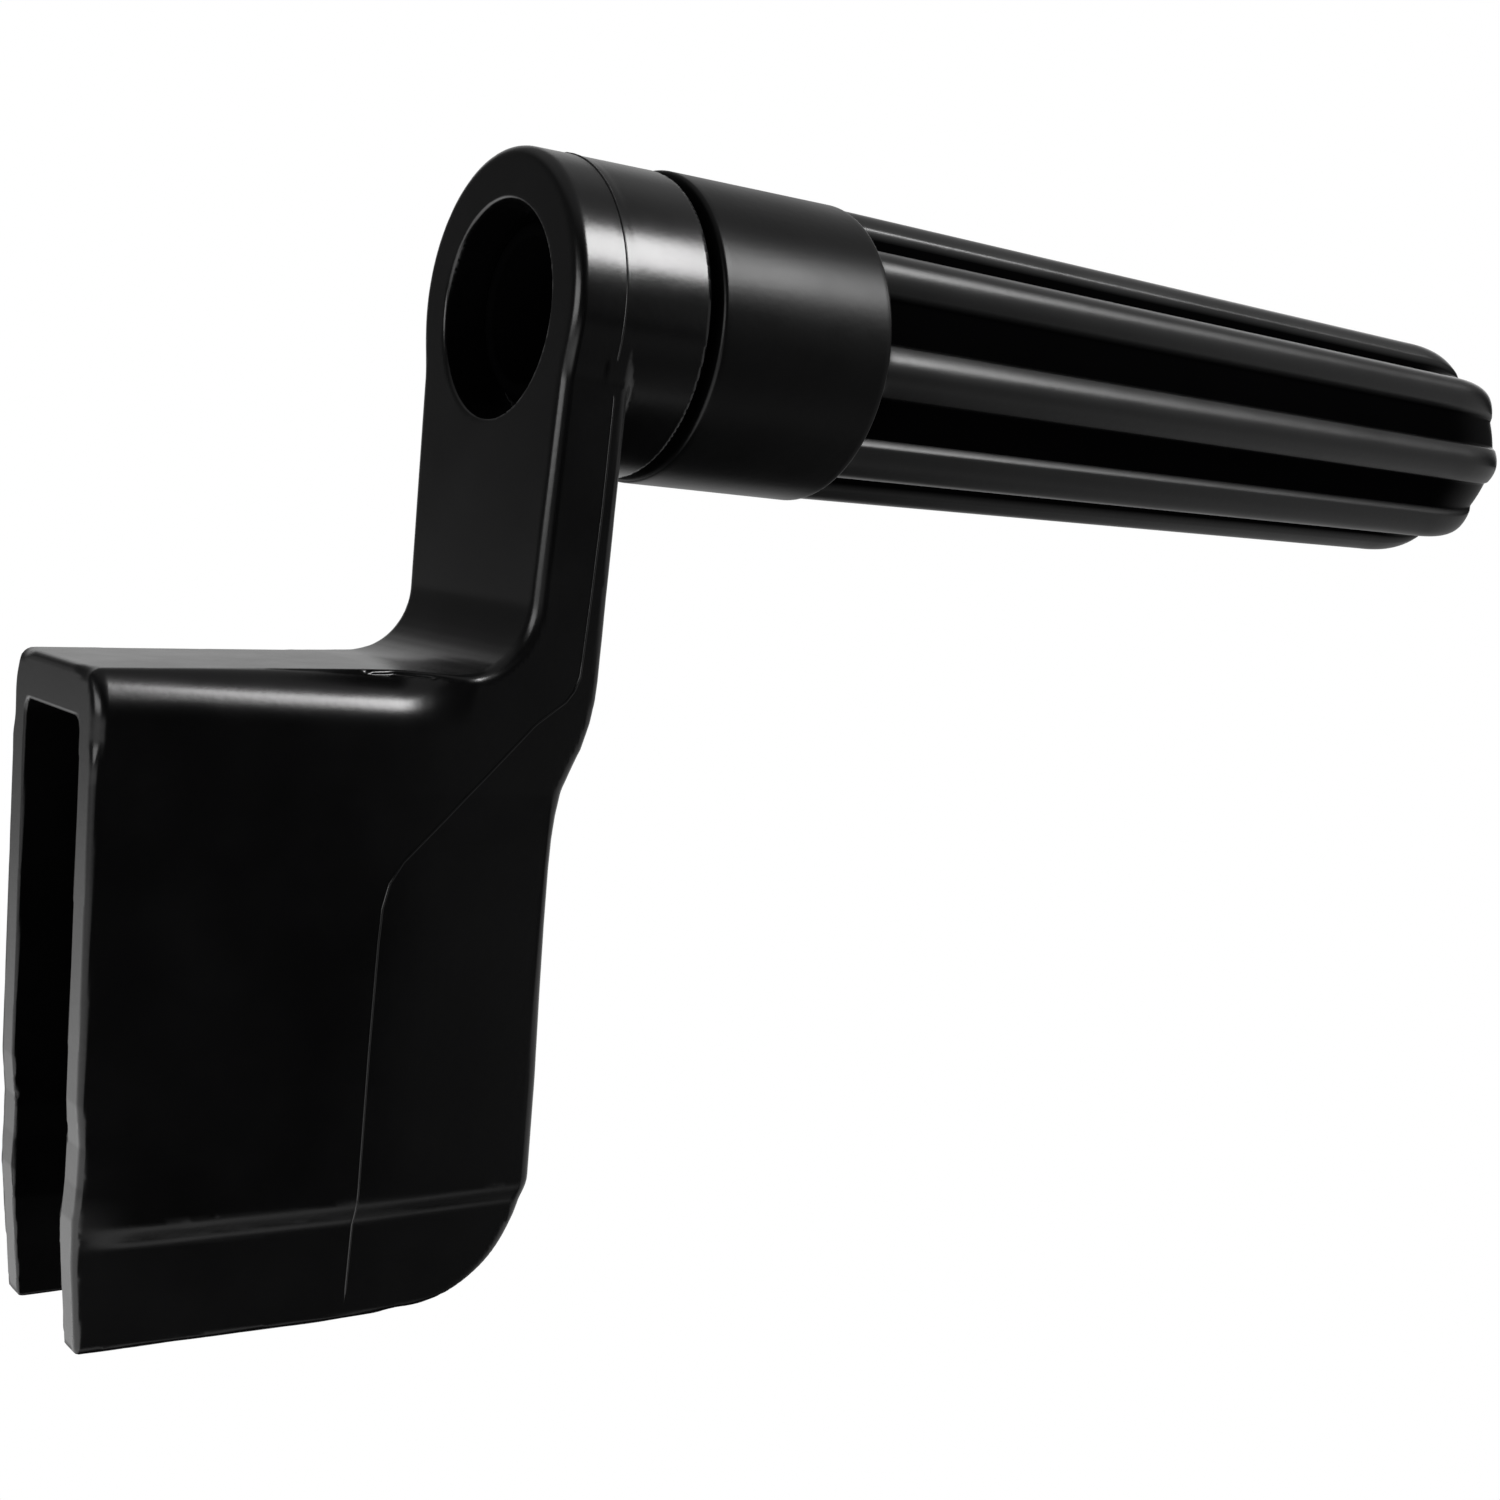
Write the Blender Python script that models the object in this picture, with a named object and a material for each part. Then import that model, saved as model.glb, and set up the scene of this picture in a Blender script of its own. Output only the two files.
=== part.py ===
# String winder for guitar tuning keys: a crank moulding (U-shaped socket head, flat arm,
# round boss) and a ribbed handle that spins on the boss.
# Axes: +X along the handle away from the socket mouth, +Y across, +Z up from head to boss.
# "Front" faces -X, "rear" faces +X. The world origin is the centre of the handle's free end
# face, on the spin axis. Both pieces are modelled with x = 0 at the seam between boss and
# handle, z = 0 on the spin axis, and are moved into place last. All lengths are in metres.
import math

import bmesh
import bpy
from mathutils import Matrix, Vector

# ---------------------------------------------------------------- boss and arm
BOSS_R = 0.00880          # the arm's rounded top is flush with the boss
BOSS_FRONT_X = -0.0062    # inside the arm
BOSS_FRONT_CHAMFER = 0.0006
BOSS_BACK_X = 0.00005
BOSS_BACK_CHAMFER = 0.00025
ARM_FRONT_X = -0.00857    # front face at the spin axis
ARM_FRONT_DRAFT = 0.006   # dx per dz of the front face
ARM_BACK_X = -0.00443     # rear face at the spin axis
ARM_BACK_DRAFT = -0.021
ARM_HALF_AXIS = 0.00839   # half width, taken to the spin axis
ARM_SIDE_DRAFT = 0.0488   # half width lost per unit going down
ROOT_FILLET = 0.0040      # front fillet between arm and head

# ---------------------------------------------------------------- socket head
ROOT_Z = -0.0201          # top of the head
HEAD_HALF = 0.00710       # full half width of the head
HEAD_TOP_X = -0.0154      # the top is level behind here
HEAD_TOP_SLOPE = 0.0425   # fall of the top toward the mouth
HEAD_TOP_RUN = 0.0164     # length of the sloping part
HEAD_BACK_X = -0.00522    # rear face
HEAD_LOW_Z = -0.0549      # bottom at the rear corner
HEAD_CORNER_R = 0.0070    # rear lower corner
MOUTH_X = -0.032557       # mouth plane taken to the spin axis
MOUTH_DRAFT = 0.0359      # the mouth leans back going down
PARTING_X = -0.0159       # full width from here back
SIDE_TAPER = 0.0588       # half width lost per unit from there toward the mouth
CREASE_Z = -0.0483        # below this the side walls lean in
LEAN = 0.13               # half width lost per unit below the crease
EDGE_Z = -0.02324         # start of the round on the upper long edges
EDGE_R = 0.0030
EDGE_MAX_CUT = 0.0020     # most the round takes off the half width
EDGE_BACK_X = -0.012      # only stations in front of this are rounded

# Mouth edge below the top lip: (z, distance behind the mouth plane)
MOUTH_EDGE = ((-0.0435, 0.0), (-0.0480, 0.0003), (-0.0562, 0.00045))
# Bottom of the head, mouth to rear corner: (x, z)
HEAD_BOTTOM = [(-0.0264, -0.05579), (-0.0201, -0.05541), (-0.0138, -0.0551)]
# Rear of the head above its corner, stepping out to the arm's rear face: (x, z)
HEAD_REAR = [(-0.00552, -0.0378), (-0.00571, -0.0308), (-0.00568, -0.0284),
             (-0.00538, -0.0262), (-0.00452, -0.0239), (-0.00424, -0.0224),
             (-0.00404, -0.0212), (-0.00401, -0.0200)]

# The side outline is extruded oversize, then trimmed by the form seen from the front
BLANK_TOP_Z = 0.0120
BLANK_HALF = 0.0125
FORM_X = (-0.0400, PARTING_X, -0.0136, -0.0114, 0.0050)
FORM_Z = (-0.0015, -0.0190, -0.0199, -0.0202, -0.0205, -0.0209, -0.0214, -0.0220,
          -0.0226, EDGE_Z, -0.0265, CREASE_Z, -0.0562, -0.0590)

# ---------------------------------------------------------------- socket slot and bores
SLOT_HALF = 0.00420
SLOT_HALF_LOW = 0.00370
SLOT_TOP_Z = -0.02336
SLOT_NARROW_Z0 = -0.0435  # the slot narrows between these heights
SLOT_NARROW_Z1 = -0.0500
SLOT_CUT_Z = -0.0620      # the cutter runs out below the head
SLOT_CUT_X = -0.0450      # and in front of the mouth
SLOT_BACK_X = -0.0096
SLOT_R = 0.0007           # upper corners

BORE_R = 0.00500          # bearing bore
COUNTERBORE_R = 0.00602   # opens in the arm's front face
COUNTERBORE_Z = -0.00022
BORE_LEDGE_X = -0.0051    # rear end of the counterbore
BORE_CUT_X0 = -0.0120     # cutter ends, clear of the arm and the boss
BORE_CUT_X1 = 0.0020
LATHE_SEGMENTS = 64

# ---------------------------------------------------------------- handle
RUNNING_CLEARANCE = 0.00007
SPINDLE_R = BORE_R - RUNNING_CLEARANCE
SPINDLE_HOLE_R = 0.00400
SPINDLE_HOLE_BACK_X = 0.0040
SPINDLE_TIP_X = -0.0066
LIP_R = 0.00545           # lip round the spindle, flaring back from the tip
LIP_BACK_X = -0.0054
LIP_LAND = 0.0003         # straight part of the lip

GRIP_FRONT_X = 0.00070
GRIP_FRONT_R = 0.00899
GRIP_CHAMFER = 0.00025
COLLAR_END_X = 0.01252    # smooth collar, ahead of the ribs
COLLAR_END_R = 0.00895
COLLAR_CHAMFER = 0.00015
RIB_START_GAP = 0.00002   # keeps the first ribbed ring off the collar's end
RIB_R = 0.00882           # rib crests at the collar
TAPER_STEPS = 3
DOME_X = 0.06644          # the handle starts rounding off here
DOME_R = 0.00777          # rib crests there
DOME_DROP = 0.0022        # the flat end's radius is this much less
DOME_POWER = 2.4          # superellipse exponent of the rounding
DOME_STEPS = 7
END_RELIEF = 0.0001       # trace of the ribs left at the flat end
GRIP_END_X = 0.07218

RIBS = 8
RIB_PHASE = 7.5           # degrees below -Y of one rib's centre line
# Half a rib pitch: (degrees from the rib's centre line, drop below the crest)
RIB_SECTION = ((0.0, 0.0), (4.0, 0.00010), (7.5, 0.00033), (10.5, 0.00064),
               (12.8, 0.00126), (17.5, 0.00133), (22.5, 0.00136))

# ---------------------------------------------------------------- finishing
WELD_DISTANCE = 1e-6
CRANK_SHARP_DEGREES = 32.0
HANDLE_SHARP_DEGREES = 40.0
# Near-black plastics
CRANK_PLASTIC = dict(name="crank_black_plastic", color=(0.012, 0.012, 0.013), roughness=0.34)
HANDLE_PLASTIC = dict(name="handle_black_plastic", color=(0.013, 0.013, 0.014), roughness=0.40)


# ---------------------------------------------------------------- helpers
def clear_scene():
    for ob in list(bpy.data.objects):
        bpy.data.objects.remove(ob, do_unlink=True)


def make_material(name, color, roughness):
    mat = bpy.data.materials.new(name)
    mat.use_nodes = True
    shader = mat.node_tree.nodes["Principled BSDF"]
    shader.inputs["Base Color"].default_value = (*color, 1.0)
    shader.inputs["Roughness"].default_value = roughness
    mat.diffuse_color = (*color, 1.0)
    return mat


def loft(name, rings, mat=None):
    """Closed solid through rings of equal length, flat caps at both ends."""
    bm = bmesh.new()
    loops = [[bm.verts.new(point) for point in ring] for ring in rings]
    count = len(rings[0])
    for near, far in zip(loops[:-1], loops[1:]):
        for i in range(count):
            j = (i + 1) % count
            bm.faces.new((near[i], near[j], far[j], far[i]))
    bm.faces.new(loops[0])
    bm.faces.new(list(reversed(loops[-1])))
    bmesh.ops.recalc_face_normals(bm, faces=bm.faces)
    mesh = bpy.data.meshes.new(name)
    bm.to_mesh(mesh)
    bm.free()
    ob = bpy.data.objects.new(name, mesh)
    bpy.context.collection.objects.link(ob)
    if mat:
        mesh.materials.append(mat)
    return ob


def lathe(name, profile):
    """Solid of revolution about the X axis from (x, radius) points, radius > 0."""
    angles = [2 * math.pi * i / LATHE_SEGMENTS for i in range(LATHE_SEGMENTS)]
    return loft(name, [[(x, radius * math.cos(a), radius * math.sin(a)) for a in angles]
                       for x, radius in profile])


def arc(centre_h, centre_z, radius, start, end, steps):
    """Points (h, z) on an arc, where h is x or y; angles in degrees from +h toward +z."""
    points = []
    for i in range(steps + 1):
        angle = math.radians(start + (end - start) * i / steps)
        points.append((centre_h + radius * math.cos(angle),
                       centre_z + radius * math.sin(angle)))
    return points


def mirrored_ring(x, half):
    """Closed ring at x from the +Y half of a Y,Z outline; a point on the axis is kept once."""
    return ([(x, y, z) for y, z in half]
            + [(x, -y, z) for y, z in reversed(half) if y > 1e-6])


def boolean(target, tool, operation):
    """Apply the boolean to target's mesh and delete the tool."""
    modifier = target.modifiers.new("boolean", 'BOOLEAN')
    modifier.object = tool
    modifier.operation = operation
    modifier.solver = 'EXACT'
    depsgraph = bpy.context.evaluated_depsgraph_get()
    mesh = bpy.data.meshes.new_from_object(target.evaluated_get(depsgraph))
    target.modifiers.clear()
    old_mesh = target.data
    target.data = mesh
    mesh.name = target.name
    bpy.data.meshes.remove(old_mesh)
    bpy.data.objects.remove(tool, do_unlink=True)


def finish(ob, sharp_degrees):
    """Weld the mesh and shade it smooth with sharp edges."""
    mesh = ob.data
    bm = bmesh.new()
    bm.from_mesh(mesh)
    bmesh.ops.remove_doubles(bm, verts=bm.verts, dist=WELD_DISTANCE)
    bmesh.ops.recalc_face_normals(bm, faces=bm.faces)
    bm.to_mesh(mesh)
    bm.free()
    mesh.shade_smooth()
    mesh.set_sharp_from_angle(angle=math.radians(sharp_degrees))


# ---------------------------------------------------------------- crank
def arm_front_x(z):
    return ARM_FRONT_X + ARM_FRONT_DRAFT * z


def mouth_x(z):
    return MOUTH_X - MOUTH_DRAFT * z


def side_outline():
    """Outline (x, z): down the arm's front, round the head, up its rear."""
    fillet_z = ROOT_Z + ROOT_FILLET
    lip_z = ROOT_Z - HEAD_TOP_SLOPE * HEAD_TOP_RUN
    outline = [(ARM_BACK_X + ARM_BACK_DRAFT * BLANK_TOP_Z, BLANK_TOP_Z),
               (arm_front_x(BLANK_TOP_Z), BLANK_TOP_Z)]
    outline += arc(arm_front_x(fillet_z) - ROOT_FILLET, fillet_z, ROOT_FILLET, 0, -90, 8)
    outline += [(HEAD_TOP_X, ROOT_Z), (mouth_x(lip_z), lip_z)]
    outline += [(mouth_x(z) + setback, z) for z, setback in MOUTH_EDGE]
    outline += HEAD_BOTTOM
    outline += arc(HEAD_BACK_X - HEAD_CORNER_R, HEAD_LOW_Z + HEAD_CORNER_R,
                   HEAD_CORNER_R, -90, 0, 10)
    return outline + HEAD_REAR


def half_width(x, z):
    """Half width of the arm and head walls at a point of the side view."""
    width = max(ARM_HALF_AXIS + ARM_SIDE_DRAFT * z, HEAD_HALF)
    width -= SIDE_TAPER * max(0.0, PARTING_X - x)
    width -= LEAN * max(0.0, CREASE_Z - z)
    if x < EDGE_BACK_X and z > EDGE_Z:
        rise = min((z - EDGE_Z) / EDGE_R, 1.0)
        width -= min(EDGE_R * (1 - math.sqrt(1 - rise * rise)), EDGE_MAX_CUT)
    return width


def front_ring(x):
    """Front view at x: round top, walls tapering to the head, leaning in low down."""
    half = arc(0.0, 0.0, BOSS_R, 90, 0, 16)
    half += [(half_width(x, z), z) for z in FORM_Z]
    return mirrored_ring(x, half)


def boss_form():
    return lathe("boss_form", [(BOSS_FRONT_X, BOSS_R - BOSS_FRONT_CHAMFER),
                               (BOSS_FRONT_X + BOSS_FRONT_CHAMFER, BOSS_R),
                               (BOSS_BACK_X - BOSS_BACK_CHAMFER, BOSS_R),
                               (BOSS_BACK_X, BOSS_R - BOSS_BACK_CHAMFER)])


def slot_form():
    """Socket slot cutter, open at the mouth and at the bottom."""
    half = arc(SLOT_HALF - SLOT_R, SLOT_TOP_Z - SLOT_R, SLOT_R, 90, 0, 4)
    half += [(SLOT_HALF, SLOT_NARROW_Z0), (SLOT_HALF_LOW, SLOT_NARROW_Z1),
             (SLOT_HALF_LOW, SLOT_CUT_Z)]
    return loft("slot_form", [mirrored_ring(x, half) for x in (SLOT_CUT_X, SLOT_BACK_X)])


def counterbore_form():
    form = lathe("counterbore_form", [(BORE_CUT_X0, COUNTERBORE_R),
                                      (BORE_LEDGE_X, COUNTERBORE_R)])
    form.data.transform(Matrix.Translation((0.0, 0.0, COUNTERBORE_Z)))
    return form


def bore_form():
    return lathe("bore_form", [(BORE_CUT_X0, BORE_R), (BORE_CUT_X1, BORE_R)])


def make_crank():
    outline = side_outline()
    crank = loft("crank", [[(x, y, z) for x, z in outline] for y in (-BLANK_HALF, BLANK_HALF)],
                 make_material(**CRANK_PLASTIC))
    boolean(crank, loft("front_form", [front_ring(x) for x in FORM_X]), 'INTERSECT')
    boolean(crank, boss_form(), 'UNION')
    boolean(crank, slot_form(), 'DIFFERENCE')
    boolean(crank, counterbore_form(), 'DIFFERENCE')
    boolean(crank, bore_form(), 'DIFFERENCE')
    finish(crank, CRANK_SHARP_DEGREES)
    return crank


# ---------------------------------------------------------------- handle
def handle_ring(x, crest_r, relief=0.0):
    """Ring round the axis; relief scales the rib section, 0 is round and 1 fully ribbed."""
    one_rib = [(-degrees, drop) for degrees, drop in reversed(RIB_SECTION[1:])]
    one_rib += RIB_SECTION[:-1]
    ring = []
    for k in range(RIBS):
        for degrees, drop in one_rib:
            radius = crest_r - drop * relief
            angle = math.radians(RIB_PHASE + k * 360.0 / RIBS + degrees)
            ring.append((x, -radius * math.cos(angle), -radius * math.sin(angle)))
    return ring


def make_handle():
    # (x, radius) from the floor of the spindle's hole, out over the spindle, along the collar
    round_profile = [
        (SPINDLE_HOLE_BACK_X, SPINDLE_HOLE_R),
        (SPINDLE_TIP_X, SPINDLE_HOLE_R),
        (SPINDLE_TIP_X, SPINDLE_R),
        (LIP_BACK_X - LIP_LAND, LIP_R),
        (LIP_BACK_X, LIP_R),
        (LIP_BACK_X, SPINDLE_R),
        (GRIP_FRONT_X, SPINDLE_R),
        (GRIP_FRONT_X, GRIP_FRONT_R - GRIP_CHAMFER),
        (GRIP_FRONT_X + GRIP_CHAMFER, GRIP_FRONT_R),
        (COLLAR_END_X - COLLAR_CHAMFER, COLLAR_END_R),
        (COLLAR_END_X, COLLAR_END_R - COLLAR_CHAMFER),
    ]
    rings = [handle_ring(x, radius) for x, radius in round_profile]

    # ribbed taper
    rings.append(handle_ring(COLLAR_END_X + RIB_START_GAP, RIB_R, 1.0))
    for i in range(1, TAPER_STEPS + 1):
        t = i / TAPER_STEPS
        rings.append(handle_ring(COLLAR_END_X + (DOME_X - COLLAR_END_X) * t,
                                 RIB_R + (DOME_R - RIB_R) * t, 1.0))

    # rounded end, where ribs and flutes run out to the flat disc
    for i in range(1, DOME_STEPS + 1):
        angle = math.radians(90.0 * i / DOME_STEPS)
        along = math.sin(angle) ** (2 / DOME_POWER)
        relief = max(max(math.cos(angle), 0.0) ** (2 / DOME_POWER), END_RELIEF)
        rings.append(handle_ring(DOME_X + (GRIP_END_X - DOME_X) * along,
                                 DOME_R - DOME_DROP * (1 - relief), relief))

    handle = loft("handle", rings, make_material(**HANDLE_PLASTIC))
    finish(handle, HANDLE_SHARP_DEGREES)
    return handle


# ---------------------------------------------------------------- build and place
clear_scene()
# both object origins are on the spin axis, at the seam
seam = Vector((-GRIP_END_X, 0.0, 0.0))
for piece in (make_crank(), make_handle()):
    piece.location = seam
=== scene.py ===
# Looks scene for a guitar string winder: a crank moulding with a hollow head, and a ribbed
# handle that spins on it. Shapes are in millimetres with the spin axis on X, measured from
# the seam between boss and handle: handle towards +X, crank towards -X, head down (-Z).
# FRAME_SHIFT moves them to the row frame, whose origin is at the handle's free end.
import math
import bmesh
import bpy
import numpy as np
from mathutils import Matrix, Vector


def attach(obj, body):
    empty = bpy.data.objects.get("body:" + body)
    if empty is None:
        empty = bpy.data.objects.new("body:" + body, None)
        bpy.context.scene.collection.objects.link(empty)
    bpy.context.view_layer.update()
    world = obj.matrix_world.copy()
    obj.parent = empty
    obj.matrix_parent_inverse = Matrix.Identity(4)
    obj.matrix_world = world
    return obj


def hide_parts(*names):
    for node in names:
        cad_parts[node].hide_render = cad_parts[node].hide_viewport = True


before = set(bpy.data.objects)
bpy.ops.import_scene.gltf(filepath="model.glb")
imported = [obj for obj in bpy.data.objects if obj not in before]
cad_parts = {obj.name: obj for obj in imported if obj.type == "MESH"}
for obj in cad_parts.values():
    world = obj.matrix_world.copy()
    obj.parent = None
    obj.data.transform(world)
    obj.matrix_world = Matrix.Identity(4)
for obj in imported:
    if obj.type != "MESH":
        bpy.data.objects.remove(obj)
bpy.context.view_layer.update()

FRAME_SHIFT = -72.18
MM = 0.001


# ------------------------------------------------------------------ field helpers
# A field is negative inside its shape and positive outside.
def intersect(first, second, radius):
    """Intersection of two fields with a rounded edge."""
    return (np.minimum(-radius, np.maximum(first, second))
            + np.sqrt(np.maximum(radius + first, 0) ** 2 + np.maximum(radius + second, 0) ** 2))


def union(first, second, radius):
    """Union of two fields with a fillet."""
    return (np.maximum(radius, np.minimum(first, second))
            - np.sqrt(np.maximum(radius - first, 0) ** 2 + np.maximum(radius - second, 0) ** 2))


def ease(start, end, value):
    """0 at start, 1 at end, smooth between; end may be below start."""
    t = np.clip((value - start) / (end - start), 0, 1)
    return t * t * (3 - 2 * t)


def soft_ramp(value, blend):
    """max(0, value) with its corner rounded over +-blend."""
    rounded = (value + blend) ** 2 / (4 * blend)
    return np.where(value > blend, value, np.where(value < -blend, 0.0, rounded))


def arc(centre_x, centre_z, radius, start, end, count):
    """Points along an arc; angles in degrees."""
    turns = [math.radians(start + (end - start) * i / count) for i in range(count + 1)]
    return [(centre_x + radius * math.cos(turn), centre_z + radius * math.sin(turn))
            for turn in turns]


def polygon_field(points, x, z):
    """Signed distance to a closed polygon in the XZ plane."""
    squared = np.full(np.broadcast(x, z).shape, 1e9)
    sign = np.ones_like(squared)
    for i, (corner_x, corner_z) in enumerate(points):
        last_x, last_z = points[i - 1]
        edge_x, edge_z = last_x - corner_x, last_z - corner_z
        from_x, from_z = x - corner_x, z - corner_z
        t = np.clip((from_x * edge_x + from_z * edge_z) / (edge_x * edge_x + edge_z * edge_z), 0, 1)
        squared = np.minimum(squared, (from_x - edge_x * t) ** 2 + (from_z - edge_z * t) ** 2)
        above, below = z >= corner_z, z < last_z
        beside = edge_x * from_z > edge_z * from_x
        crosses = (above & below & beside) | (~above & ~below & ~beside)
        sign = np.where(crosses, -sign, sign)
    return sign * np.sqrt(squared)


def surface_net(field, field_grid, low, high, spacing):
    """Quad mesh of the field's zero surface, with normals; one vertex per crossed cell."""
    sizes = [int(math.ceil((end - start) / spacing)) + 1 for start, end in zip(low, high)]
    values = field_grid(*[low[i] + spacing * np.arange(sizes[i]) for i in range(3)])
    inside = values < 0
    cells = tuple(size - 1 for size in sizes)
    total = np.zeros(cells + (3,))
    count = np.zeros(cells)
    crossings = []
    for axis in range(3):
        near, far = [slice(None)] * 3, [slice(None)] * 3
        near[axis], far[axis] = slice(0, -1), slice(1, None)
        near, far = tuple(near), tuple(far)
        crossed = inside[near] != inside[far]
        edges = np.argwhere(crossed)
        near_values, far_values = values[near][crossed], values[far][crossed]
        spots = edges.astype(float)
        spots[:, axis] += near_values / (near_values - far_values)
        around = []
        for offset in ((0, 0), (0, -1), (-1, 0), (-1, -1)):
            cell = edges.copy()
            cell[:, (axis + 1) % 3] += offset[0]
            cell[:, (axis + 2) % 3] += offset[1]
            cell = tuple(cell.T)
            np.add.at(total, cell, spots)
            np.add.at(count, cell, 1)
            around.append(cell)
        crossings.append((around, inside[near][crossed]))

    used = count > 0
    numbers = np.full(cells, -1)
    numbers[used] = np.arange(used.sum())
    quads = []
    for around, starts_inside in crossings:
        quad = np.stack([numbers[around[i]] for i in (3, 1, 0, 2)], 1)
        quad[~starts_inside] = quad[~starts_inside][:, ::-1]
        quads.append(quad)

    def gradient(points):
        reach = 0.02
        slope = np.empty_like(points)
        for axis in range(3):
            ahead, behind = points.copy(), points.copy()
            ahead[:, axis] += reach
            behind[:, axis] -= reach
            slope[:, axis] = (field(ahead) - field(behind)) / (2 * reach)
        return slope

    points = np.array(low) + spacing * (total[used] / count[used][:, None])
    # pull the vertices onto the surface, in limited steps
    for _ in range(4):
        slope = gradient(points)
        steepness = np.maximum((slope * slope).sum(1), 0.05)
        move = field(points)[:, None] * slope / steepness[:, None]
        length = np.linalg.norm(move, axis=1)
        move *= np.minimum(1.0, 0.6 * spacing / np.maximum(length, 1e-9))[:, None]
        points -= move
    normals = gradient(points)
    normals /= np.maximum(np.linalg.norm(normals, axis=1), 1e-9)[:, None]
    return points, np.concatenate(quads), normals


def mesh_object(name, points, faces, material, normals=None):
    """Smooth-shaded object from millimetre points, moved to the row frame."""
    mesh = bpy.data.meshes.new(name)
    places = np.array(points, float)
    places[:, 0] += FRAME_SHIFT
    places *= MM
    mesh.from_pydata(places.tolist(), [], faces)
    mesh.validate()
    mesh.materials.append(material)
    mesh.shade_smooth()
    if normals is not None:
        mesh.normals_split_custom_set_from_vertices(normals.tolist())
    return link_object(name, mesh)


def link_object(name, data):
    made = bpy.data.objects.new(name, data)
    bpy.context.scene.collection.objects.link(made)
    return made


# ------------------------------------------------------------------ shader helpers
def feed(tree, socket, value):
    """Links an output socket to an input, or sets the input's value."""
    if isinstance(value, bpy.types.NodeSocket):
        tree.links.new(value, socket)
    else:
        socket.default_value = value


def add_node(tree, kind, settings=None, **inputs):
    """New node; underscores in the input names stand for spaces."""
    node = tree.nodes.new("ShaderNode" + kind)
    for name, value in (settings or {}).items():
        setattr(node, name, value)
    for name, value in inputs.items():
        feed(tree, node.inputs[name.replace("_", " ")], value)
    return node


def combine(tree, operation, first, second):
    """Math node on two numbers or sockets."""
    node = add_node(tree, "Math", {"operation": operation})
    feed(tree, node.inputs[0], first)
    feed(tree, node.inputs[1], second)
    return node.outputs[0]


def map_range(tree, value, source, target, interpolation='LINEAR'):
    """Maps the source range (low, high) onto the target range."""
    node = add_node(tree, "MapRange", {"interpolation_type": interpolation}, Value=value,
                    From_Min=source[0], From_Max=source[1], To_Min=target[0], To_Max=target[1])
    return node.outputs["Result"]


def eased_level(tree, value, start, end, level):
    """0 at start, level at end, eased; start < end."""
    return map_range(tree, value, (start, end), (0.0, level), 'SMOOTHSTEP')


def white_to_camera(tree, kind, strength):
    """Plain white for camera rays, the given strength for all others."""
    seen = add_node(tree, kind, Color=(1, 1, 1, 1), Strength=1.0)
    reflected = add_node(tree, kind, Strength=strength)
    if kind == "Emission":
        reflected.inputs["Color"].default_value = (1, 1, 1, 1)
    mix = add_node(tree, "MixShader")
    feed(tree, mix.inputs[0], add_node(tree, "LightPath").outputs["Is Camera Ray"])
    feed(tree, mix.inputs[1], reflected.outputs[0])
    feed(tree, mix.inputs[2], seen.outputs[0])
    return mix.outputs[0]


# ------------------------------------------------------------------ finishes
def plastic(name, base, roughness, roughness_spread, bump, grain_scale, gloss_and_shade_masked=False):
    """Satin plastic with cloudy roughness and colour and a fine grain."""
    specular = 0.5
    material = bpy.data.materials.new(name)
    material.use_nodes = True
    tree = material.node_tree
    place = add_node(tree, "TexCoord").outputs["Object"]
    clouds = add_node(tree, "TexNoise", Vector=place, Scale=160.0, Detail=5.0,
                      Roughness=0.6).outputs["Fac"]
    grain = add_node(tree, "TexNoise", Vector=place, Scale=grain_scale, Detail=3.0)
    colour = add_node(tree, "Mix", {"data_type": 'RGBA'}, Factor=clouds,
                      A=tuple(c * 0.8 for c in base) + (1.0,),
                      B=tuple(c * 1.25 for c in base) + (1.0,))
    relief = add_node(tree, "Bump", Strength=bump, Distance=0.00004, Height=grain.outputs["Fac"])
    if gloss_and_shade_masked:
        # painted shade: specular follows the point attribute set in build_handle, zero in the flute
        # floors and on the spindle so these recesses render black; full on the rib crests, a little
        # less on the collar and face
        gloss_and_shade_mask = add_node(tree, "Attribute", {"attribute_name": "gloss_and_painted_shade"})
        specular = map_range(tree, gloss_and_shade_mask.outputs["Fac"], (0.0, 1.0), (0.0, specular))
    roughness_range = (roughness - roughness_spread, roughness + roughness_spread)
    surface = {
        "Roughness": map_range(tree, clouds, (0.3, 0.7), roughness_range),
        "Base Color": colour.outputs["Result"],
        "Normal": relief.outputs["Normal"],
        "Specular IOR Level": specular,
        "IOR": 1.5,
    }
    for socket, value in surface.items():
        feed(tree, tree.nodes["Principled BSDF"].inputs[socket], value)
    material.diffuse_color = base + (1.0,)
    return material


CRANK_PLASTIC = plastic("crank_satin_black", base=(0.0010, 0.0010, 0.0011), roughness=0.24,
                        roughness_spread=0.03, bump=0.10, grain_scale=2600.0)
HANDLE_PLASTIC = plastic("handle_satin_black", base=(0.0012, 0.0012, 0.0013), roughness=0.33,
                         roughness_spread=0.03, bump=0.14, grain_scale=2200.0, gloss_and_shade_masked=True)

# ------------------------------------------------------------------ crank shape
BOSS_RADIUS = 8.80
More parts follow.
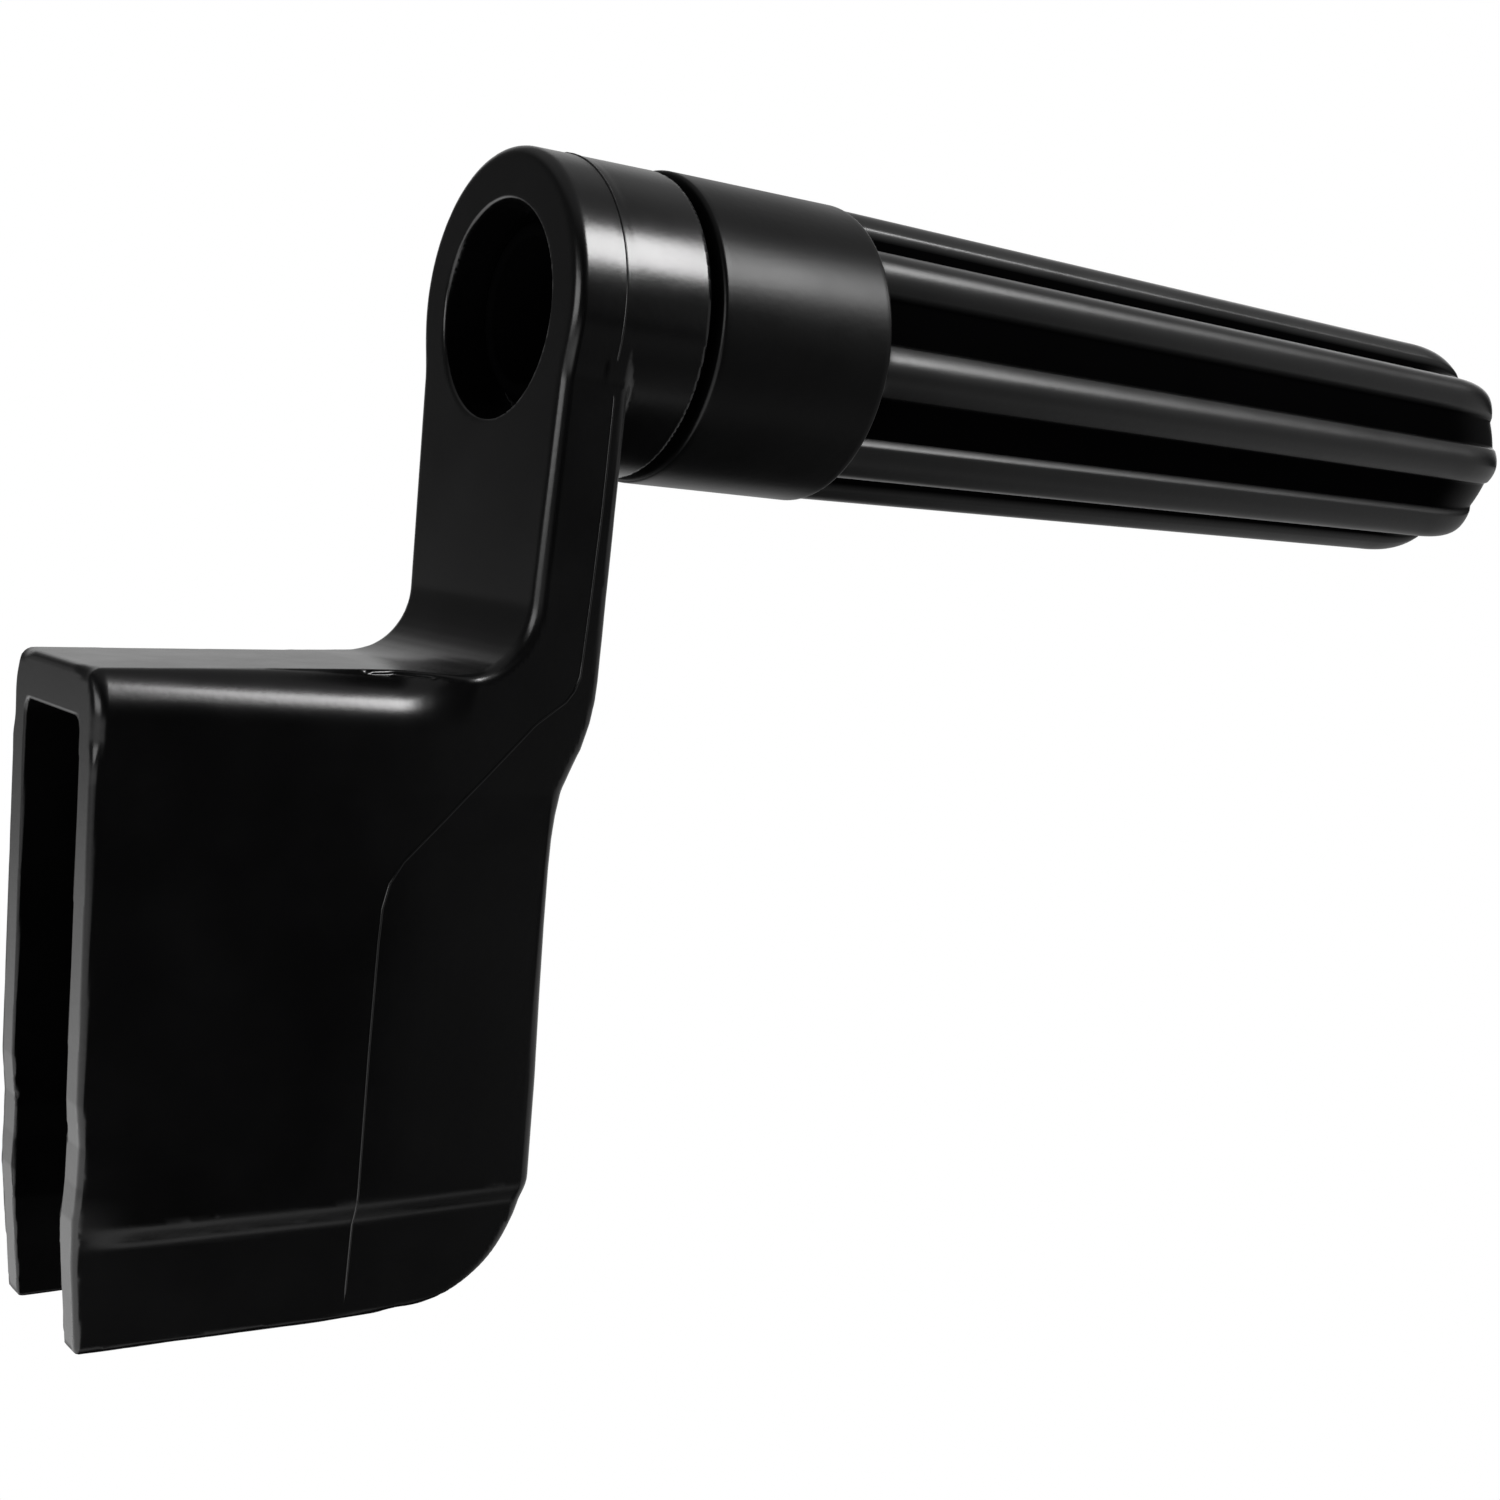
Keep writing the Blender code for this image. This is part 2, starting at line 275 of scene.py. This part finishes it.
# arm faces: x at axis height, and lean in x per mm of z
OUTER_X, OUTER_LEAN = -8.57, 0.006           # away from the handle
INNER_X, INNER_LEAN = -4.43, -0.021          # towards the handle
ARM_TOP = 20.0                               # side outline runs past the round top
ARM_FILLET = 4.0                             # between the arm and the head's top
HEAD_TOP_Z, HEAD_TOP_SLOPE = -20.10, 0.0425
HEAD_START_X, HEAD_END_X = -15.4, -45.0      # the head's end is cut back by the mouth plane
HEAD_INNER_X, HEAD_BOTTOM_Z = -5.22, -54.90
HEAD_CORNER = 7.0                            # bottom corner on the handle side
TAPER_START_X = -15.9
LONG_EDGE_RADIUS, LONG_EDGE_Z = 3.0, -23.24  # round of the head's upper long edges
SLOT_HALF, SLOT_TOP_Z, SLOT_END_X = 4.20, -23.36, -9.6
BORE_RADIUS = 5.0
COUNTERBORE_RADIUS, COUNTERBORE_Z, COUNTERBORE_END_X = 6.02, -0.22, -5.1
# distance below the axis, and how far the mouth recedes there
MOUTH_DEPTHS = [42.5, 44.7, 46.6, 48.6, 51.0, 56.0]
MOUTH_RECESS = [0, 0.20, 0.17, 0.06, 0.2, 0.6]
# (x, z) along the head's underside, from mouth to handle side
HEAD_BOTTOM = [
    (-45.0, -56.3), (-29.5, -55.62), (-26.4, -55.50), (-23.3, -55.40), (-20.1, -55.30),
    (-16.9, -55.22), (-13.8, -55.06)]
# (x, z) up the handle side of the head, then the eased step to the thinner arm
HEAD_INNER = [
    (-5.33, -42.3), (-5.52, -37.8), (-5.66, -33.5), (-5.72, -30.5), (-5.70, -28.9),
    (-5.60, -27.6), (-5.38, -26.2), (-4.50, -23.9), (-4.20, -22.4), (-4.04, -21.2),
    (-4.01, -20.0)]
NET_SPACING = 0.26
NET_LOW, NET_HIGH = (-32.43, -9.23, -56.29), (0.60, 9.24, 9.31)


def side_outline():
    """(x, z) outline of arm and head, seen along Y."""
    fillet_z = HEAD_TOP_Z + ARM_FILLET
    fillet_x = OUTER_X + OUTER_LEAN * fillet_z - ARM_FILLET
    points = [(INNER_X + INNER_LEAN * ARM_TOP, ARM_TOP), (OUTER_X + OUTER_LEAN * ARM_TOP, ARM_TOP)]
    points += arc(fillet_x, fillet_z, ARM_FILLET, 0, -90, 24)
    head_length = HEAD_START_X - HEAD_END_X
    points += [(HEAD_START_X, HEAD_TOP_Z),
               (HEAD_END_X, HEAD_TOP_Z - HEAD_TOP_SLOPE * head_length)]
    points += HEAD_BOTTOM
    points += arc(HEAD_INNER_X - HEAD_CORNER, HEAD_BOTTOM_Z + HEAD_CORNER, HEAD_CORNER, -92, 0, 28)
    return points + HEAD_INNER


SIDE = side_outline()


def pinch(x, z):
    """How far the side walls are set in low down: a ledge along the crease, eased at the mouth."""
    depth = np.maximum(0.0, -48.05 - 0.029 * (-5.8 - x) - z)
    draft = 0.055 * np.maximum(depth - 0.9, 0)
    ledge = 0.44 * ease(-0.1, 1.5, depth) * (depth > 0) + draft
    eased = 0.12 * ease(44.6, 47.2, -z) + 0.40 * ease(47.0, 49.6, -z) + draft
    at_mouth = ease(-27.5, -32.0, x)
    return (1 - at_mouth) * ledge + at_mouth * eased


def half_width(x, z):
    """Half width between the side walls of arm and head."""
    width = np.maximum(8.392 + 0.0488 * np.minimum(z, 0.0), 7.10)
    width = width - 0.0588 * soft_ramp(TAPER_START_X - x, 3.0) * ease(-17.0, -22.0, z)
    rise = np.clip((z - LONG_EDGE_Z) / LONG_EDGE_RADIUS, 0, 0.985)
    drop = LONG_EDGE_RADIUS * (1 - np.sqrt(1 - rise * rise))
    return width - pinch(x, z) - np.minimum(drop, 2.0) * ease(-11.6, -15.8, x)


def end_outline(x, y, z, from_axis):
    """Outline seen along X: the round top runs into the arm's straight sides."""
    disc = np.sqrt(np.maximum(BOSS_RADIUS ** 2 - z * z, 0.0))
    arm = half_width(x, z)
    blend = np.maximum(0.40 - np.abs(disc - arm), 0.0) ** 2 / 1.60
    half = np.maximum(disc, arm) + blend
    return np.where(z > 0.0, from_axis - BOSS_RADIUS, (np.abs(y) - half) * 0.99)


def edge_radius(x, z):
    """Rounding where the side outline meets the end outline."""
    head_top = ease(-10.0, -14.6, x) * ease(-27.0, -24.5, z)
    head_inner = ease(-10.0, -7.5, x) * ease(-22.0, -25.0, z)
    head_bottom = ease(-50.0, -53.5, z)
    radius = 0.70 - 0.52 * head_top + 0.15 * head_inner - 0.35 * head_bottom
    return np.where(x > -6.3, np.minimum(radius, 0.5 + 0.3 * head_inner), radius)


def slot_field(x, y, z):
    """Slot in the head, open at the mouth and below, narrowing in two steps."""
    narrowing = 0.20 * np.clip((-43.5 - z) / 1.5, 0, 1)
    half = SLOT_HALF - narrowing - 0.30 * np.clip((-47.0 - z) / 3.0, 0, 1)
    return intersect(intersect(np.abs(y) - half, z - SLOT_TOP_Z, 0.7), x - SLOT_END_X, 0.6)


def crank_field(x, y, z, side):
    """The whole crank; side is the side outline's field at (x, z)."""
    from_axis = np.sqrt(y * y + z * z)
    shape = intersect(side, end_outline(x, y, z, from_axis), edge_radius(x, z))
    mouth_x = -32.557 - 0.0359 * z + np.interp(-z, MOUTH_DEPTHS, MOUTH_RECESS)
    mouth_edge = 0.31 + 0.40 * ease(-25.6, -24.2, z) * ease(3.0, 5.0, np.abs(y))
    shape = intersect(shape, mouth_x - x, mouth_edge)
    boss = intersect(intersect(from_axis - BOSS_RADIUS, x - 0.05, 0.25), -6.0 - x, 0.05)
    shape = union(shape, boss, 0.02 + 0.45 * ease(-2.0, -5.0, z))
    shape = intersect(shape, -slot_field(x, y, z), 0.12)
    # stepped bore, wider on the side away from the handle
    counterbore = np.sqrt(y * y + (z - COUNTERBORE_Z) ** 2) - COUNTERBORE_RADIUS
    bore = np.minimum(intersect(counterbore, x - COUNTERBORE_END_X, 0.02),
                      from_axis - BORE_RADIUS)
    return intersect(shape, -bore, np.where(x < -7.0, 0.22, 0.12))


def crank_at(points):
    x, y, z = points.T
    return crank_field(x, y, z, polygon_field(SIDE, x, z))


def crank_grid(grid_x, grid_y, grid_z):
    """Crank field on a grid, one Y layer at a time."""
    x, z = grid_x[:, None], grid_z[None, :]
    side = polygon_field(SIDE, x, z)
    values = np.empty((len(grid_x), len(grid_y), len(grid_z)))
    for j, y in enumerate(grid_y):
        values[:, j, :] = crank_field(x, np.full((1, 1), y), z, side)
    return values


def build_crank():
    points, quads, normals = surface_net(crank_at, crank_grid, NET_LOW, NET_HIGH, NET_SPACING)
    crank = mesh_object("crank_moulding", points, quads.tolist(), CRANK_PLASTIC, normals)
    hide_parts("crank")
    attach(crank, "crank")


build_crank()

# ------------------------------------------------------------------ mould seams
SEAM_RADIUS = 0.075
SEAM_STEP = 0.8
BOSS_SEAM_X = -5.5
BOSS_SEAM_ANGLES = (88, -30)                 # degrees above the horizontal, start and end
BOSS_SEAM_LOWEST = -4.2
# (x, z) of the seam down each side face
SEAM_LINE = [
    (-5.324, -4.752), (-5.236, -10.648), (-5.28, -15.576), (-5.368, -19.8),
    (-5.632, -20.592), (-6.072, -21.208), (-7.7968, -22.528), (-10.516, -25.52),
    (-12.5928, -27.72), (-14.8984, -30.096), (-15.576, -31.24), (-15.8664, -32.56),
    (-15.928, -34.32), (-15.928, -40.04), (-15.84, -47.96), (-15.752, -54.208)]


def tube(name, points, radius, material, sides=6):
    """Thin round bead through points, narrowed at both ends."""
    points = [Vector(point) for point in points]
    last = len(points) - 1
    corners, faces = [], []
    for i, point in enumerate(points):
        along = (points[min(i + 1, last)] - points[max(i - 1, 0)]).normalized()
        across = along.cross(Vector((0, 1, 0)))
        if across.length < 1e-3:
            across = along.cross(Vector((1, 0, 0)))
        across.normalize()
        other = along.cross(across).normalized()
        reach = radius if 0 < i < last else radius * 0.3
        for k in range(sides):
            turn = 2 * math.pi * k / sides
            corner = point + across * (reach * math.cos(turn)) + other * (reach * math.sin(turn))
            corners.append(tuple(corner))
    for i in range(last):
        here, ahead = i * sides, (i + 1) * sides
        for k in range(sides):
            j = (k + 1) % sides
            faces.append((here + k, ahead + k, ahead + j, here + j))
    faces.append(tuple(range(sides)))
    faces.append(tuple(reversed(range(last * sides, (last + 1) * sides))))
    return mesh_object(name, corners, faces, material)


def project_to_crank(points):
    """Moves points along Y onto the side surface."""
    points = np.array(points, float)
    for _ in range(12):
        points[:, 1] -= np.sign(points[:, 1]) * crank_at(points)
    return points


def resample(points, spacing):
    """Splits each stretch of a line into even steps no shorter than spacing, or keeps it whole."""
    result = []
    for (x0, z0), (x1, z1) in zip(points[:-1], points[1:]):
        count = max(1, int(math.hypot(x1 - x0, z1 - z0) / spacing))
        result += [(x0 + (x1 - x0) * i / count, z0 + (z1 - z0) * i / count) for i in range(count)]
    return result + [points[-1]]


def build_seam(name, side):
    """Bead over the boss and down one side; side is -1 for -Y and 1 for +Y."""
    start, end = BOSS_SEAM_ANGLES
    turns = [math.radians(start - (start - end) * i / 25) for i in range(26)]
    over_boss = [(BOSS_SEAM_X, side * BOSS_RADIUS * math.cos(turn), BOSS_RADIUS * math.sin(turn))
                 for turn in turns]
    over_boss = [point for point in over_boss if point[2] > BOSS_SEAM_LOWEST]
    down_side = project_to_crank([(x, side * 9.0, z) for x, z in resample(SEAM_LINE, SEAM_STEP)])
    points = over_boss + [tuple(point) for point in down_side]
    bead = tube(name, points, SEAM_RADIUS, CRANK_PLASTIC)
    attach(bead, "crank")


build_seam("mould_seam_near", -1)
build_seam("mould_seam_far", 1)

# ------------------------------------------------------------------ handle
FACE_X, COLLAR_X, DOME_X, END_X = 0.72, 12.52, 66.44, 72.16
FACE_RADIUS, COLLAR_RADIUS, RIB_RADIUS, DOME_RADIUS = 8.97, 8.93, 8.80, 7.75
FACE_BEVEL, COLLAR_BEVEL = 0.26, 0.16
FLAT_RADIUS = DOME_RADIUS - 2.2              # flat disc at the free end
DOME_POWER = 2 / 2.4                         # dome profile, fuller than a circle
GROOVE_DEPTH = 0.05                          # two fine grooves along the collar
COLLAR_GLOSS = 0.42
RIBS = 8
RIB_PHASE = 7.5                              # degrees from -Y down to the first rib
# half a rib pitch: (degrees from the rib's centre line, drop below the crest); rounded crest,
# steep wall, small corner radius and a nearly flat flute floor
HALF_RIB = [(float(angle), 0.64 * (angle / 10.5) ** 1.85) for angle in range(0, 11)]
HALF_RIB += [
    (10.5, 0.64), (10.9, 0.715), (11.3, 0.82), (11.8, 0.965), (12.3, 1.11), (12.6, 1.185),
    (12.9, 1.235), (13.4, 1.27), (14.2, 1.295), (16.0, 1.32), (19.0, 1.345), (22.5, 1.36)]
# (x, radius): hollow spindle's inside, its lipped tip in the bore, then back along its outside
SPINDLE = [
    (4.0, 0.02), (4.0, 2.4), (4.0, 3.8), (3.8, 4.0), (0.0, 4.03), (-6.45, 4.08), (-6.6, 4.2),
    (-6.6, 4.7), (-6.45, 4.88), (-5.9, 5.38), (-5.75, 5.42), (-5.55, 5.42), (-5.45, 5.35),
    (-5.4, 4.93), (0.3, 4.93), (0.66, 4.98)]


def grip_radius(x):
    """Crest radius along the handle."""
    if x <= COLLAR_X:
        share = (COLLAR_RADIUS - FACE_RADIUS) * (x - FACE_X)
        return FACE_RADIUS + share / (COLLAR_X - FACE_X)
    return RIB_RADIUS + (DOME_RADIUS - RIB_RADIUS) * (x - COLLAR_X) / (DOME_X - COLLAR_X)


def quarter(i, count):
    """Sine and cosine of step i of a quarter turn."""
    turn = math.radians(90 * i / count)
    return math.sin(turn), math.cos(turn)


def handle_rings():
    """Rings of points from the spindle to the free end, and each point's gloss, with painted shade
    as zero gloss on the spindle and in the flute floors.
    """
    section = [(-angle, drop) for angle, drop in reversed(HALF_RIB[1:-1])] + HALF_RIB
    angles = np.array([math.radians(RIB_PHASE + 360.0 / RIBS * i + angle)
                       for i in range(RIBS) for angle, _ in section])
    drops = np.array([drop for _, drop in section] * RIBS)
    # painted shade: no specular where the section drops deep into a flute, so the flute floors
    # render black
    crest_gloss_flute_shade = 1.0 - np.clip((drops - 0.80) / 0.35, 0, 1)
    off_groove = np.abs(((np.degrees(angles) + 20.0 + 90) % 180) - 90)
    groove = GROOVE_DEPTH * np.exp(-(off_groove / 0.7) ** 2)
    rings, gloss_and_painted_shade = [], []

    def ring(x, radius, ring_gloss_and_shade=1.0):
        x, radius, ring_gloss_and_shade = [np.broadcast_to(np.asarray(value, float), angles.shape)
                                 for value in (x, radius, ring_gloss_and_shade)]
        rings.append(np.stack([x, -np.cos(angles) * radius, -np.sin(angles) * radius], 1))
        gloss_and_painted_shade.append(ring_gloss_and_shade)

    def ribbed(x):
        # a hair past x, so that the collar's end already counts as rib
        return grip_radius(x + 1e-6) - drops

    # painted shade: the spindle gets no specular, so its tip deep in the bore renders black
    for x, radius in SPINDLE:
        ring(x, radius, 0.0)
    # face towards the crank, then the collar
    for radius in (5.1, 6.5, 8.4):
        ring(FACE_X, radius, 0.4)
    for i in range(7):
        sine, cosine = quarter(i, 6)
        ring(FACE_X + FACE_BEVEL * (1 - cosine),
             FACE_RADIUS - FACE_BEVEL + FACE_BEVEL * sine - groove * (i / 6), COLLAR_GLOSS)
    for x in np.linspace(FACE_X + 0.6, COLLAR_X - 0.45, 24):
        ring(x, grip_radius(x) - groove, COLLAR_GLOSS)
    collar_flat = grip_radius(COLLAR_X) - COLLAR_BEVEL
    for i in range(5):
        sine, cosine = quarter(i, 4)
        ring(COLLAR_X - COLLAR_BEVEL + COLLAR_BEVEL * sine,
             collar_flat + COLLAR_BEVEL * cosine - groove * (1 - i / 4), COLLAR_GLOSS)
    # shoulder down to the ribs, with a fillet where the step is deep
    root = ribbed(COLLAR_X)
    ring(COLLAR_X + 0.01, np.minimum(collar_flat, collar_flat + (root - collar_flat) * 0.5), crest_gloss_flute_shade)
    fillet = np.clip((collar_flat - root) / 0.30, 0, 1) * 0.22
    for i in range(4):
        sine, cosine = quarter(i + 1, 4)
        ring(COLLAR_X + 0.02 + fillet * (1 - cosine) + 0.02 * i, root + fillet * (1 - sine), crest_gloss_flute_shade)
    for x in np.linspace(COLLAR_X + 0.5, DOME_X, 70):
        ring(x, ribbed(x), crest_gloss_flute_shade)
    # dome, where the ribs fade into the flat end
    base = ribbed(DOME_X)
    for i in range(1, 19):
        sine, cosine = quarter(i, 18)
        along, out = sine ** DOME_POWER, max(cosine, 0.0) ** DOME_POWER
        ring(DOME_X + (END_X - DOME_X) * along, FLAT_RADIUS + (base - FLAT_RADIUS) * out,
             np.maximum(crest_gloss_flute_shade, 1.0 - out))
    for radius in (FLAT_RADIUS * 0.6, FLAT_RADIUS * 0.1, 0.01):
        ring(END_X, radius)
    return np.array(rings), np.array(gloss_and_painted_shade)


def build_handle():
    rings, gloss_and_painted_shade = handle_rings()
    numbers = np.arange(gloss_and_painted_shade.size).reshape(gloss_and_painted_shade.shape)
    near, far = numbers[:-1], numbers[1:]
    quads = np.stack([near, np.roll(near, -1, 1), np.roll(far, -1, 1), far], -1).reshape(-1, 4)
    caps = [numbers[0].tolist(), numbers[-1][::-1].tolist()]
    handle = mesh_object("ribbed_handle", rings.reshape(-1, 3), quads.tolist() + caps,
                         HANDLE_PLASTIC)
    shell = bmesh.new()
    shell.from_mesh(handle.data)
    bmesh.ops.recalc_face_normals(shell, faces=shell.faces)
    shell.to_mesh(handle.data)
    shell.free()
    # gloss per point, with painted shade (zero gloss) on the spindle and in the flute floors
    gloss_and_shade_mask = handle.data.attributes.new("gloss_and_painted_shade", 'FLOAT', 'POINT')
    gloss_and_shade_mask.data.foreach_set("value", gloss_and_painted_shade.reshape(-1).astype(np.float32))
    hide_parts("handle")
    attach(handle, "handle")


build_handle()

# ------------------------------------------------------------------ camera, floor, world, lights
# from here on in metres, in the row frame
CAMERA_PLACE = (-0.14206945727, -0.11368199226, -0.0110199361)
CAMERA_RIGHT = (0.8136009, -0.5726609, 0.100564)
CAMERA_UP = (-0.0269582, 0.1356209, 0.990394)
CAMERA_BACK = (-0.5807985, -0.8084964, 0.0949034)
FLOOR_Z, FLOOR_HALF = -0.0562, 3
AMBIENT = 0.006                              # least light reflected from floor and world
LIGHT_TARGET, LIGHT_DISTANCE = (-0.06, 0.0, -0.01), 1.2
# soft patches in the world: direction, (full, zero) degrees off it, level
LOBES = [
    ((0.45, 0.85, 0.12), (12, 42), 0.72),
    ((-0.50, 0.85, 0.20), (20, 60), 0.09),
    ((0.85, 0.50, 0.25), (4, 20), 1.4),
    ((0.78, 0.34, 0.50), (8, 32), 0.32),
    ((0.80, -0.60, 0.05), (8, 24), 0.5),
    ((0.0, 0.1, 1.0), (20, 60), 0.32)]


def build_camera():
    lens = bpy.data.cameras.new("camera")
    camera = link_object("camera", lens)
    lens.sensor_width = 36.0
    lens.lens = 54.7689216
    lens.clip_start, lens.clip_end = 0.005, 20.0
    pose = Matrix((CAMERA_RIGHT, CAMERA_UP, CAMERA_BACK)).transposed().to_4x4()
    pose.translation = CAMERA_PLACE
    camera.matrix_world = pose
    bpy.context.scene.camera = camera


def floor_glow(tree):
    """Reflected floor light by direction: brightest behind the object (+Y) and at its left (-X)."""
    incoming = add_node(tree, "NewGeometry").outputs["Incoming"]
    split = add_node(tree, "SeparateXYZ", Vector=incoming)
    # Incoming points from the floor back to the object
    to_left, to_front, steep = [split.outputs[axis] for axis in "XYZ"]
    to_back = combine(tree, 'MULTIPLY', to_front, -1.0)
    to_right = combine(tree, 'MULTIPLY', to_left, -1.0)

    def level(direction, start, end, amount):
        return eased_level(tree, direction, start, end, amount)

    def times(first, second):
        return combine(tree, 'MULTIPLY', first, second)

    def plus(first, second):
        return combine(tree, 'ADD', first, second)

    back = times(level(to_back, 0.50, 0.78, 1.0), plus(0.15, level(to_right, -0.10, 0.30, 0.50)))
    left = times(level(to_left, 0.05, 0.35, 1.0), level(steep, 0.08, 0.42, 1.7))
    front = times(level(to_front, 0.25, 0.55, 1.0), level(steep, 0.30, 0.60, 0.10))
    right = level(to_right, 0.62, 0.80, 0.5)
    front_right = times(level(to_right, 0.42, 0.55, 0.20),
                        times(level(to_front, 0.70, 0.84, 1.0), level(steep, 0.06, 0.18, 1.0)))
    under = times(level(to_front, 0.42, 0.52, 0.60), level(steep, 0.62, 0.76, 1.0))
    return plus(plus(back, left), plus(plus(front, front_right), plus(plus(right, under), AMBIENT)))


def build_floor():
    material = bpy.data.materials.new("pale_floor")
    material.use_nodes = True
    tree = material.node_tree
    tree.nodes.clear()
    add_node(tree, "OutputMaterial", Surface=white_to_camera(tree, "Emission", floor_glow(tree)))
    mesh = bpy.data.meshes.new("floor")
    corners = [(x * FLOOR_HALF, y * FLOOR_HALF, FLOOR_Z)
               for x, y in ((-1, -1), (1, -1), (1, 1), (-1, 1))]
    mesh.from_pydata(corners, [], [(0, 1, 2, 3)])
    mesh.materials.append(material)
    link_object("floor", mesh)


def lobe(tree, place, direction, widths, level):
    """Patch of world light: level within the first angle of direction, 0 beyond the second."""
    dot = add_node(tree, "VectorMath", {"operation": 'DOT_PRODUCT'})
    feed(tree, dot.inputs[0], place)
    feed(tree, dot.inputs[1], Vector(direction).normalized())
    full, zero = [math.cos(math.radians(width)) for width in widths]
    return eased_level(tree, dot.outputs["Value"], zero, full, level)


def build_world():
    world = bpy.data.worlds.new("studio")
    bpy.context.scene.world = world
    world.use_nodes = True
    tree = world.node_tree
    tree.nodes.clear()
    place = add_node(tree, "TexCoord").outputs["Generated"]
    glow, *others = [lobe(tree, place, *row) for row in LOBES]
    for other in others + [AMBIENT]:
        glow = combine(tree, 'ADD', glow, other)
    add_node(tree, "OutputWorld", Surface=white_to_camera(tree, "Background", glow))


def area_light(name, direction, size, radiance):
    """Rectangular soft light seen in a direction from the object."""
    light = bpy.data.lights.new(name, 'AREA')
    light.shape = 'RECTANGLE'
    light.size, light.size_y = size
    light.energy = radiance * math.pi * size[0] * size[1]
    holder = link_object(name, light)
    outward = Vector(direction).normalized()
    holder.location = Vector(LIGHT_TARGET) + outward * LIGHT_DISTANCE
    holder.rotation_mode = 'QUATERNION'
    holder.rotation_quaternion = outward.to_track_quat('Z', 'Y')


build_camera()
build_floor()
build_world()
area_light("main_softbox", direction=(0.46, -0.59, 0.665), size=(0.50, 0.42), radiance=20.0)
area_light("left_light", direction=(-0.83, -0.30, -0.1), size=(0.9, 1.1), radiance=4.0)

view = bpy.context.scene.view_settings
view.view_transform = 'Standard'
view.look = 'None'
view.exposure = 0.0
view.gamma = 1.0
